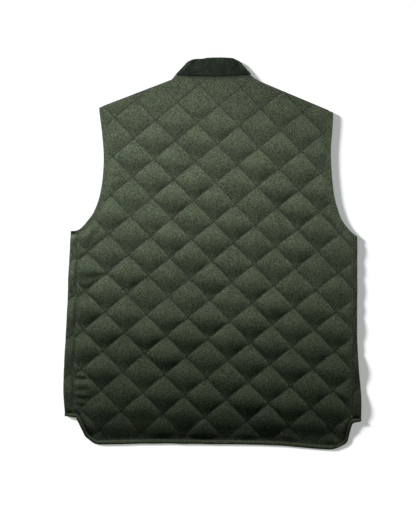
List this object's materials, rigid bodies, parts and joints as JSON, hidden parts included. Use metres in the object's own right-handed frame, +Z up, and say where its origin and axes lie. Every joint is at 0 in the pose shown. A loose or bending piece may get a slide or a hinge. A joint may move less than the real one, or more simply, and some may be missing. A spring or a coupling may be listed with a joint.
{
  "type": "quilted gilet",
  "caption": "Diamond-quilted wool gilet with a stand collar, bound armholes and hem and a longer rounded back, lying flat and face down.",
  "frame": {"origin": "middle of the garment's box, on the surface it lies on", "axes": "+Y from the hem towards the collar, +X towards the right side as it lies with its back uppermost, +Z up, out of the back"},
  "size_m": [0.5682, 0.7452, 0.0159],
  "materials": {
    "wool": "heathered brushed wool, diamond quilted",
    "binding": "self-fabric wool binding",
    "cord": "fine needlecord with a short nap"
  },
  "bodies": {
    "root": {"back": "wool", "front_left": "wool", "front_right": "wool", "collar": "cord", "armhole_binding_left": "binding", "armhole_binding_right": "binding", "hem_binding": "binding"}
  },
  "joints": []
}
